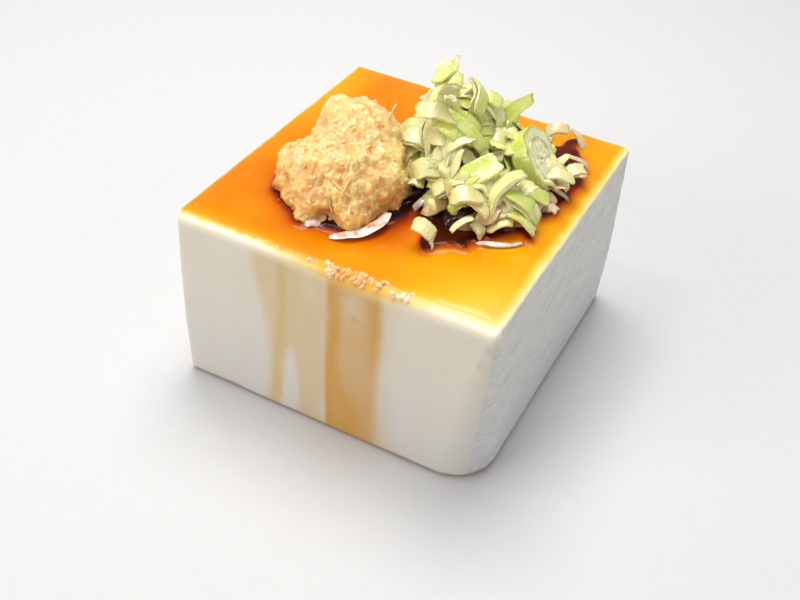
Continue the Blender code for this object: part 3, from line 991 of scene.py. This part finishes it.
# Soaked see-through skins lie in the sauce at the foot of a mound, their pale pinkish white a painted reflection of
# the sauce's meniscus: which mound, the bearing in degrees from that mound's middle, and how far beyond its foot and
# over the block's top, in mm; then the same as for a slice.
reflectionSkinList = [
    ("grated_ginger", 275, -1, 1.3, ((0, -46, 0), (6, 3.2, 0.8), 70, 0, 0, {"turn": 170})),
    ("grated_ginger", 310, 1, 1.3, ((8, -44, 0), (13, 3.2, 0.8), 78, 0, 0, {"turn": 146})),
    ("spring_onion_heap", 295, 0, 0.7, ((0, -50, 0), (15, 1.3, 0.5), 58, 0, 0, {"turn": 176})),
    ("spring_onion_heap", 240, 1, 1.5, ((46, 40, 0), (6, 0.5, 1.6), 40, 0, 0, {})),
    ("spring_onion_heap", 268, 0, 2, ((70, 50, 0), (5, 0.7, 1.6), 50, 0, 0, {})),
]

heapSettings = {
    "place": Vector((18, 3, 49.05)) * mm,
    "core": Vector((9.5, 15.0, 6.5)) * mm,
    "bulges": [(146, 60, 10.0, 24), (170, 54, 6.0, 22), (185, 25, 1.0, 26), (58, 4, 7.0, 24), (25, 0, 3.0, 24), (262, 4, 4.0, 18)],
    "relief": ((1.4, 3.4), (0.5, 1.3)),
    "bevel": 0.07 * mm,
    "stepAngle": 12,
    "thin": 0.66,          # the leaves are this much thinner than the list says
    "fillers": 90,         # small loose slices over the whole heap
    "crown": 40,           # more of them over the peak, which bears and rises this far, in degrees
    "peak": (140, 58),
    "apron": 260,          # tries at places round the far foot of the heap
    "apronRight": 24 * mm,
    "farSide": -36.5 * mm, # how far back that is, towards the viewer from the heap's middle
    "golden": (math.sqrt(5) - 1) / 2,
    "lowest": 1.2 * mm,    # no slice's middle is nearer the block than this
    "footHeight": 2 * mm,  # where a mound's foot is felt for
    "seed": 23,
}


def cutSlice(radius, wall, length, arc, steps, cuts=2):
    # a piece of one leaf layer: a small rectangle spun round the stalk
    clearSelection()
    start = math.radians(arc / 2)
    middle = radius - wall / 2
    bpy.ops.mesh.primitive_plane_add(
        size=1,
        location=(-middle * math.sin(start) * mm, middle * math.cos(start) * mm, 0),
        rotation=(0, math.radians(90), start),
    )
    piece = bpy.context.object
    piece.scale = (length * mm, wall * mm, 1)
    applyPlace(piece)
    bpy.ops.object.mode_set(mode="EDIT")
    bpy.ops.mesh.select_all(action="SELECT")
    bpy.ops.mesh.subdivide(number_cuts=cuts)
    bpy.ops.mesh.spin(steps=steps, angle=math.radians(arc), center=(0, 0, 0), axis=(0, 0, 1))
    bpy.ops.mesh.select_all(action="SELECT")
    bpy.ops.mesh.remove_doubles(threshold=0.00001)
    bpy.ops.mesh.normals_make_consistent(inside=False)
    bpy.ops.object.mode_set(mode="OBJECT")
    return piece


def finishSlice(piece, radius, wall, length, arc, tone, soak, extra, seed):
    applyModifier(piece, "BEVEL", width=min(heapSettings["bevel"], wall * mm * 0.2), segments=1,
                  limit_method="ANGLE", angle_limit=math.radians(50))
    applyModifier(piece, "SUBSURF", levels=1, render_levels=1)
    skins, alongs, arounds, rims = [], [], [], []
    half = math.radians(arc / 2)
    shift = Vector((seed * 3.7, seed * 1.3, 0))
    oval, point = extra.get("oval", 1.0), extra.get("point", 0.0)

    def bent(co):
        reach, angle = math.hypot(co.x, co.y) / mm, math.atan2(co.x, co.y)
        along = co.z / mm
        share = angle / half
        depth = (reach - (radius - wall)) / wall
        skins.append(min(1, max(0, depth)))
        alongs.append(along)
        arounds.append(angle * radius)
        rims.append(max(abs(along) / (length / 2), abs(share) if arc < 300 else 0))
        thin = 0.9 - 0.55 * abs(share) ** 3 if arc < 300 else 1
        reach = radius - wall / 2 + (depth - 0.5) * wall * thin
        reach += 0.35 * noise.noise(Vector((angle * 1.6, along / 6, 0)) + shift) * min(1.4, radius / 5)
        reach *= 1 + 0.10 * along / length * math.sin(seed * 2.1)
        if arc < 300:
            reach *= 1 + 0.13 * share * math.cos(seed * 1.7)
            along += 0.17 * length * share * math.sin(seed * 3.1)
            along *= 1 - 0.22 * abs(share) ** 5
        along *= 1 - point * (0.5 + 0.5 * share) if point >= 0 else 1 + point * (0.5 - 0.5 * share)
        along += 0.55 * noise.noise(Vector((angle * 2.5, 0, 7)) + shift)
        along += 0.24 * noise.noise(Vector((angle * 8, depth, 3)) + shift)
        end = 0.35 * noise.noise(Vector((0, along / 1.3, 5)) + shift) * abs(share) ** 4
        angle += end * 2 / radius
        x, y = reach * math.sin(angle), reach * math.cos(angle) * oval
        bump = 0.10 * noise.noise(Vector((x, y, along)) / 1.2 + shift)
        return Vector((x + bump, y + bump, along + bump)) * mm

    shapePoints(piece, bent)
    middle = Vector((0, 0, 0))
    for vertex in piece.data.vertices:
        middle += vertex.co / len(piece.data.vertices)
    shapePoints(piece, lambda co: co - middle)
    storeShare(piece, "skin", skins)
    storeShare(piece, "around", arounds)
    storeShare(piece, "along", alongs)
    storeShare(piece, "rim", rims)
    storeShare(piece, "tone", [tone] * len(skins))
    storeShare(piece, "soak", [soak] * len(skins))


def sliceTurn(turns):
    spin, tip, yaw = (math.radians(angle) for angle in turns)
    turn = Matrix.Rotation(spin, 3, "Z") @ Matrix.Rotation(tip, 3, "X") @ Matrix.Rotation(yaw, 3, "Y")
    return (flatView @ turn).to_4x4()


def between(ends, share):
    return ends[0] + (ends[1] - ends[0]) * share


def towards(bearing, rise):
    bearing, rise = math.radians(bearing), math.radians(rise)
    return Vector((math.cos(rise) * math.cos(bearing), math.cos(rise) * math.sin(bearing), math.sin(rise)))


def groupPlaces(group, tree):
    # spreads the slices of a group evenly over its patch of the heap, from its first rise to its last
    count = len(group["slices"])
    places = []
    for number in range(count):
        across = (number * heapSettings["golden"] + 0.5) % 1
        direction = towards(between(group["bearing"], across), between(group["rise"], (number + 0.5) / count))
        place = onSurface(tree, heapSettings["place"], direction)[0] + direction * group["lift"] * mm
        place.z = max(place.z, blockHeight + heapSettings["lowest"])
        places.append(place)
    return places


def footPlace(node, bearing, beyond, height):
    # a place on the block's top beside a mound of the frame
    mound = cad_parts[node]
    corners = [vertex.co for vertex in mound.data.vertices]
    middle = sum(corners, Vector()) / len(corners)
    middle.z = blockHeight + heapSettings["footHeight"]
    foot = onSurface(treeOf([mound]), middle, towards(bearing, 0))[0]
    place = foot + towards(bearing, 0) * beyond * mm
    place.z = blockHeight + height * mm
    return place


def placedSlice(number, place, row):
    turns, (radius, wall, length), arc, tone, soak, extra = row
    # sauce climbs the heap from its foot and leaves the top of it dry
    soak *= 1 - 0.8 * smoothStep(6 * mm, 16 * mm, place.z - blockHeight)
    wall *= heapSettings["thin"] if arc < 300 and "turn" not in extra else 1
    layers = extra.get("layers", 1)
    leaf = wall / layers if arc < 300 else wall
    pieces = []
    for layer in range(layers):
        outer = radius - layer * (leaf + (0.06 if arc < 300 else -0.3))
        arcHere = arc * (1 - 0.09 * layer) if arc < 300 else arc
        inner = min(leaf, outer - 0.35)
        if inner <= 0.2:
            break
        steps = max(4, round(arcHere / heapSettings["stepAngle"]))
        piece = cutSlice(outer, inner, length - 0.35 * layer * (-1) ** number, arcHere, steps)
        here = tone if layer == 0 else tone * 0.12
        finishSlice(piece, outer, inner, length, arcHere, here, soak, extra, number + layer * 0.4)
        pieces.append(piece)
    if layers > 1:
        # nested leaves share one middle
        for layer, piece in enumerate(pieces):
            outer = radius - layer * (leaf + 0.06)
            lift = 0.0 if arc > 300 else -layer * leaf * 0.9
            piece.data.transform(Matrix.Translation((0, lift * mm, 0.12 * mm * ((layer * 7) % 3 - 1))))
    matrix = Matrix.Translation(place) @ sliceTurn(turns) @ Matrix.Rotation(math.radians(-extra.get("turn", 0)), 4, "Z")
    for piece in pieces:
        piece.data.transform(matrix)
    return pieces


def makeCore():
    setting = heapSettings
    clearSelection()
    bpy.ops.mesh.primitive_ico_sphere_add(subdivisions=6, radius=1)
    core = bpy.context.object
    core.name = "onion_core"
    radii, place = setting["core"], setting["place"]

    def mounded(direction):
        point = Vector((direction.x * radii.x, direction.y * radii.y, direction.z * radii.z))
        point += direction * bulgeAt(direction, setting["bulges"])
        for height, width in setting["relief"]:
            point += direction * height * mm * noise.noise(point / (width * mm))
        crumb = noise.voronoi(point / (3.2 * mm))[0][0]
        point += direction * (0.5 - crumb) * 1.6 * mm + place
        point.z = max(point.z, place.z - 0.9 * mm)
        return point

    shapePoints(core, mounded)
    return core


def scatterSlices(core):
    # loose smaller slices between and behind the large ones
    setting = heapSettings
    dice = random.Random(setting["seed"])
    tree = treeOf([core])
    modelled = treeOf([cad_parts["spring_onion_heap"]])
    kinds = []
    for number, (radius, wall, length, arc) in enumerate(
        ((4.6, 0.8, 4.2, 120), (6.0, 0.9, 4.6, 80), (5.4, 0.7, 4.0, 90), (7.0, 0.9, 4.6, 70))
    ):
        piece = cutSlice(radius, wall, length, arc, max(4, round(arc / 20)), 1)
        finishSlice(piece, radius, wall, length, arc, 0.5, 0.1, {}, 40 + number)
        kinds.append(piece)
    copies = []
    for number in range(setting["fillers"] + setting["crown"]):
        turn = number * math.pi * (3 - math.sqrt(5))
        rise = 0.06 + 0.92 * (number + 0.5) / setting["fillers"]
        if number >= setting["fillers"]:
            bearing, lift = (math.radians(angle) for angle in setting["peak"])
            turn = dice.gauss(bearing, 0.7)
            rise = min(0.98, max(0.2, math.sin(lift) + dice.gauss(-0.06, 0.2)))
        level = math.sqrt(1 - rise * rise)
        direction = Vector((level * math.cos(turn), level * math.sin(turn), rise))
        place, normal = onSurface(tree, setting["place"], direction)
        if place is None:
            continue
        if number >= setting["fillers"]:
            place, normal = onSurface(modelled, setting["place"], direction)
            place -= direction * dice.uniform(1.5, 5) * mm
        height = (place.z - setting["place"].z) / mm
        behind = smoothStep(-0.2, 0.4, -normal.dot(flatView @ Vector((0, 0, 1))))
        heading = Vector([dice.gauss(0, 1) for _ in range(3)])
        matrix = layAlong(place + normal * dice.uniform(-1.1, 0.9 * behind - 0.2) * mm, normal, heading,
                          dice.uniform(-0.6, 0.6), dice.uniform(-0.9, 0.9), dice.uniform(0.75, 1.1))
        tone = dice.choice((0.0, 0.1, 0.3, 0.5, 0.8, 1.0))
        soak = min(0.9, max(0, 0.55 - height / 16 + dice.uniform(-0.15, 0.2) - 0.25 * behind))
        copies.append((dice.choice(kinds), matrix @ Matrix.Rotation(math.radians(-90), 4, "Z"), {"tone": tone, "soak": soak}))
    # the far foot of the heap is covered where the frame's own heap is low
    for _ in range(setting["apron"]):
        x, y = dice.uniform(heapLow.x, heapHigh.x), dice.uniform(heapLow.y, heapHigh.y)
        place = modelled.ray_cast(Vector((x, y, heapHigh.z + 5 * mm)), Vector((0, 0, -1)))[0]
        nearer = (flatView @ Vector((0, 0, 1))).dot(Vector((x, y, 0)) - setting["place"])
        if place is None or nearer > setting["farSide"] or place.z > blockHeight + 9 * mm:
            continue
        if x > setting["apronRight"]:
            continue
        place.z = blockHeight + max(0.9 * mm, (place.z - blockHeight) * dice.uniform(0.35, 0.75))
        heading = Vector([dice.gauss(0, 1) for _ in range(3)])
        matrix = layAlong(place, Vector((dice.gauss(0, 0.3), dice.gauss(0, 0.3), 1)).normalized(), heading, 0.1,
                          dice.uniform(-0.6, 0.6), dice.uniform(0.7, 1.0))
        tone, soak = dice.choice((0.0, 0.1, 0.4, 0.9)), dice.uniform(0.1, 0.5)
        copies.append((dice.choice(kinds), matrix @ Matrix.Rotation(math.radians(-90), 4, "Z"), {"tone": tone, "soak": soak}))
    print("loose slices", len(copies))
    loose = joinCopies("onion_bits", copies)
    clearKinds(kinds)
    return loose


def onionFinish():
    onion = Finish("spring_onion", Roughness=0.15, IOR=1.45, Subsurface_Weight=0.6, Subsurface_Scale=0.0004,
                   Specular_IOR_Level=0.75, Coat_Weight=0.45, Coat_Roughness=0.07)
    onion.shader.inputs["Subsurface Radius"].default_value = (1.0, 0.9, 0.4)
    place = onion.places()
    z = onion.part(place, "Z")
    skin, tone, soak = onion.share("skin"), onion.share("tone"), onion.share("soak")
    around, along = onion.share("around"), onion.share("along")
    grain = onion.node("CombineXYZ", {}, {"X": around, "Y": along * 0.10, "Z": skin * 0.8})
    veins = onion.clouds(grain, 0.34, 2, 0.5)
    drift = onion.clouds(onion.node("CombineXYZ", {}, {"X": around * 0.5, "Y": along * 0.8, "Z": tone * 9}), 2.2, 2, 0.5)
    rings = onion.clouds(onion.node("CombineXYZ", {}, {"X": skin * 5.0, "Y": around * 0.12, "Z": tone}), 1.0, 2, 0.5)
    patch = onion.clouds(place, 3.2 * mm, 3, 0.55)

    flesh = onion.blend(linear(244, 240, 198), linear(234, 238, 162), tone * 0.3)
    flesh = onion.blend(flesh, linear(218, 212, 166), onion.rise(rings, 0.45, 0.75) * 0.25)
    green = onion.blend(linear(236, 230, 166), linear(218, 228, 106), onion.rise(tone, 0.1, 0.7))
    green = onion.blend(green, linear(190, 208, 66), onion.rise(tone, 0.7, 1.1) * 0.8)
    green = onion.blend(green, linear(234, 236, 164), onion.rise(drift, 0.42, 0.70) * 0.8)
    green = onion.blend(green, linear(196, 206, 96), onion.rise(veins, 0.5, 0.85) * 0.25)
    colour = onion.blend(flesh, green, onion.rise(skin + (veins - 0.5) * 0.2, 0.40, 0.92))
    colour = onion.blend(colour, linear(242, 232, 176), onion.rise(patch, 0.55, 0.8) * 0.3)
    top = blockHeight
    low = 1 - onion.rise(z + (patch - 0.5) * (3.0 * mm), top + 0.4 * mm, top + 6.0 * mm)
    wet = (soak * (0.45 + 1.1 * patch) + low * 0.26).clipped()
    steeped = onion.blend(linear(212, 184, 108), linear(226, 190, 160), onion.rise(onion.part(place, "X"), 20 * mm, 27 * mm))
    colour = onion.blend(colour, steeped, onion.rise(wet, 0.08, 0.62) * 0.8)
    colour = onion.blend(colour, linear(190, 110, 70), onion.rise(wet, 0.60, 1.05) * 0.85)
    # slice edges darkened to brown: partly soy gathered along them, partly painted shade
    edge = onion.rise(onion.share("rim") + (patch - 0.5) * 0.10, 0.84, 0.97) * onion.rise(skin, 0.6, 0.95)
    colour = onion.blend(colour, linear(150, 116, 52), edge * (0.45 + 0.5 * soak) * onion.rise(veins, 0.2, 0.6))
    onion.put(onion.shader.inputs["Base Color"], colour)
    onion.put(onion.shader.inputs["Roughness"], 0.05 + 0.16 * veins)
    onion.put(onion.shader.inputs["Normal"], onion.bump(0.6 * veins + 0.5 * rings + 2.6 * patch, 0.24 * mm, 1.0))
    return onion


def reflectionSkinFinish():
    skin = Finish("painted_reflection_onion_skin", Roughness=0.06, IOR=1.45, Subsurface_Weight=0.3, Subsurface_Scale=0.0003,
                  Specular_IOR_Level=0.8)
    patch = skin.clouds(skin.places(), 2.0 * mm, 3, 0.5)
    # pale pinkish-white patches on these skins are a painted reflection of the sauce's meniscus
    skin.put(skin.shader.inputs["Base Color"], skin.blend(linear(212, 160, 136), linear(246, 234, 222), skin.rise(patch, 0.30, 0.56)))
    skin.put(skin.shader.inputs["Normal"], skin.bump(patch, 0.5 * mm, 0.8))
    return skin


def coreFinish():
    soakedShaded = Finish("soaked_shaded_core", Roughness=0.22, IOR=1.40, Coat_Weight=0.4, Coat_Roughness=0.08)
    place = soakedShaded.places()
    z = soakedShaded.part(place, "Z")
    patch = soakedShaded.clouds(place, 2.6 * mm, 3, 0.6)
    high = soakedShaded.rise(z, blockHeight + 2 * mm, blockHeight + 20 * mm)
    # darker lower down: partly soy soaked into the core, partly painted shade of the heap's hollows
    colour = soakedShaded.blend(linear(56, 24, 16), linear(150, 124, 62), high)
    colour = soakedShaded.blend(colour, linear(176, 166, 92), soakedShaded.rise(patch, 0.5, 0.75) * high)
    soakedShaded.put(soakedShaded.shader.inputs["Base Color"], colour)
    soakedShaded.put(soakedShaded.shader.inputs["Normal"], soakedShaded.bump(patch, 0.3 * mm, 0.6))
    return soakedShaded


onionCore = makeCore()
onionLarge = []
heapTree = treeOf([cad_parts["spring_onion_heap"]])
for group in sliceGroups:
    for place, row in zip(groupPlaces(group, heapTree), group["slices"]):
        onionLarge += placedSlice(len(onionLarge), place, row)
same = Matrix.Identity(4)
onionSlices = joinCopies("onion_slices", [(piece, same, {}) for piece in onionLarge])
clearKinds(onionLarge)
onionBits = scatterSlices(onionCore)
# thin skins laid in the sauce, coloured as painted reflections of its meniscus
reflectionSkinPieces = []
for number, (node, bearing, beyond, height, row) in enumerate(reflectionSkinList):
    reflectionSkinPieces += placedSlice(200 + number, footPlace(node, bearing, beyond, height), row)
reflectionSkins = joinCopies("painted_reflection_onion_skins", [(piece, same, {}) for piece in reflectionSkinPieces])
clearKinds(reflectionSkinPieces)
reflectionSkinFinish().wear(reflectionSkins)
standFor(reflectionSkins, "spring_onion")
onionMaterial = onionFinish()
onionMaterial.wear(onionSlices)
onionMaterial.wear(onionBits)
coreFinish().wear(onionCore)
for polygon in onionCore.data.polygons:
    polygon.use_smooth = True
standFor(onionSlices, "spring_onion", "spring_onion_heap")
standFor(onionBits, "spring_onion", "spring_onion_heap")
standFor(onionCore, "spring_onion", "spring_onion_heap")
print("onion heaped", len(onionSlices.data.polygons), len(onionBits.data.polygons))


# Soy sauce on the top, and the last of the tofu
sauceSettings = {
    "inset": 0.7 * mm,     # how far inside the block's plan the sauce's own piece stops
    "steps": (176, 184),
    "sink": 0.13,          # how far the bare rim of the piece dips into the tofu, in mm
    "film": 0.36,
    "lip": (1.2, 0.9),     # how high the sauce climbs at the toppings, and over how far, in mm
    "wall": 0.5 * mm,
}


def pourSauce(tofu, nearest):
    setting = sauceSettings
    clearSelection()
    across, deep = setting["steps"]
    bpy.ops.mesh.primitive_grid_add(x_subdivisions=across, y_subdivisions=deep, size=1, location=(0, 0, blockHeight))
    sauce = bpy.context.object
    sauce.name = "soy_sauce"
    sauce.scale = (2 * (halfLength - setting["inset"]), 2 * (halfDepth - setting["inset"]), 1)
    applyPlace(sauce)
    ground = treeOf([tofu])
    height, reach = setting["lip"]

    def flooded(point):
        found = ground.ray_cast(Vector((point.x, point.y, blockHeight + 5 * mm)), Vector((0, 0, -1)))[0]
        under = found.z if found else blockHeight - 3 * mm
        x, y = point.x / mm, point.y / mm
        near = nearest(point)
        shade = soyShade(x, y, 48.5, near)
        edge = min(40 - abs(x), 41.75 - abs(y))
        lift = setting["film"] * smoothStep(0.0, 0.25, shade) * smoothStep(0.4, 6.5, edge) - setting["sink"]
        lift += height * math.exp(-((max(0, near) / reach) ** 1.3)) * smoothStep(1, 3, edge)
        return Vector((point.x, point.y, under + lift * mm))

    shapePoints(sauce, flooded)
    applyModifier(sauce, "SOLIDIFY", thickness=setting["wall"], offset=-1)
    shades = [soyShade(vertex.co.x / mm, vertex.co.y / mm, 48.5, nearest(vertex.co)) for vertex in sauce.data.vertices]
    storeShare(sauce, "soy_and_shadow", shades)
    for polygon in sauce.data.polygons:
        polygon.use_smooth = True
    return sauce


def sauceFinish():
    sauce = Finish("soy_sauce", Roughness=0.08, IOR=1.34, Specular_IOR_Level=0.35)
    place = sauce.places()
    cloud = sauce.clouds(place, 7 * mm, 3, 0.5)
    # the sauce's colour, darkest under the toppings, where it is painted shadow
    wash = sauce.node("ValToRGB", {"stops": soyStops}, {0: sauce.share("soy_and_shadow") + (cloud - 0.5) * 0.05})
    sauce.put(sauce.shader.inputs["Base Color"], wash)
    sauce.put(sauce.shader.inputs["Roughness"], 0.07 + 0.08 * cloud)
    sauce.put(sauce.shader.inputs["Normal"], sauce.bump(sauce.clouds(place, 2.5 * mm, 2, 0.4), 0.03 * mm, 0.5))
    return sauce


def scatterCrumbs(tofu):
    # curd crumbs where the sauce ran over the front rim, and a few loose on the top
    dice = random.Random(5)
    ground = treeOf([tofu])
    kinds = makeGrainKinds()
    copies = []
    spots = [(dice.gauss(6, 6.0), dice.uniform(-41.3, -39.0), dice.uniform(0.9, 1.9)) for _ in range(26)]
    spots += [(dice.gauss(x, 1.1), dice.gauss(y, 0.45), dice.uniform(1.5, 2.5))
              for x, y in [(4 * clump, -41 + clump % 2) for clump in range(5)] for _ in range(4)]
    spots += [(dice.uniform(-26, 0), dice.uniform(-40.9, -40.1), dice.uniform(0.3, 0.6)) for _ in range(24)]
    spots += [(dice.uniform(39.2, 39.7), dice.uniform(-36, 30), dice.uniform(0.3, 0.7)) for _ in range(26)]
    for x, y, scale in spots:
        place, normal = ground.ray_cast(Vector((x * mm, y * mm, blockHeight + 5 * mm)), Vector((0, 0, -1)))[:2]
        if place is None:
            continue
        matrix = layAlong(place - normal * 0.26 * mm * scale, normal, Vector((dice.gauss(0, 1), dice.gauss(0, 1), 0)), 0.0,
                          dice.uniform(0, 6.28), scale)
        copies.append((dice.choice(kinds), matrix, {"pale": min(1, max(0, dice.random() * 0.5 + 0.07 * (abs(x - 6) - 6)))}))
    crumbs = joinCopies("curd_crumbs", copies)
    clearKinds(kinds)
    return crumbs


def crumbFinish():
    crumb = Finish("curd_crumb", Roughness=0.3, IOR=1.38, Subsurface_Weight=0.3, Subsurface_Scale=0.0002)
    speck = crumb.clouds(crumb.places(), 0.7 * mm, 2, 0.5)
    colour = crumb.blend(linear(250, 182, 104), linear(255, 240, 208), (crumb.share("pale") * 0.9 + 0.3 * speck).clipped())
    crumb.put(crumb.shader.inputs["Base Color"], colour)
    crumb.put(crumb.shader.inputs["Roughness"], 0.22 + 0.2 * speck)
    return crumb


toppings = treeOf([gingerPulp, onionCore, onionSlices, onionBits])
heaps = treeOf([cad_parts["grated_ginger"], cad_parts["spring_onion_heap"]])


def nearest(point):
    # how far a place on the top is from the toppings, in mm, evened out so that the sauce's edge stays smooth
    total = 0
    for right, back in ((0, 0), (1, 0), (-1, 0), (0, 1), (0, -1), (0.7, 0.7), (-0.7, 0.7), (0.7, -0.7), (-0.7, -0.7)):
        spot = Vector((point.x + right * 1.1 * mm, point.y + back * 1.1 * mm, blockHeight + 0.6 * mm))
        if heaps.ray_cast(spot + Vector((0, 0, 50 * mm)), Vector((0, 0, -1)), 49.4 * mm)[0] is None:
            total += min(toppings.find_nearest(spot)[3], heaps.find_nearest(spot)[3] + 0.8 * mm) / mm
    return total / 9


stainTofu(tofu, nearest)
tofuFinish().wear(tofu)
for polygon in tofu.data.polygons:
    polygon.use_smooth = True
standFor(tofu, "tofu", "tofu_block")
curdCrumbs = scatterCrumbs(tofu)
crumbFinish().wear(curdCrumbs)
standFor(curdCrumbs, "tofu")
soySauce = pourSauce(tofu, nearest)
sauceFinish().wear(soySauce)
standFor(soySauce, "soy_sauce")
print("sauce poured", len(soySauce.data.polygons))
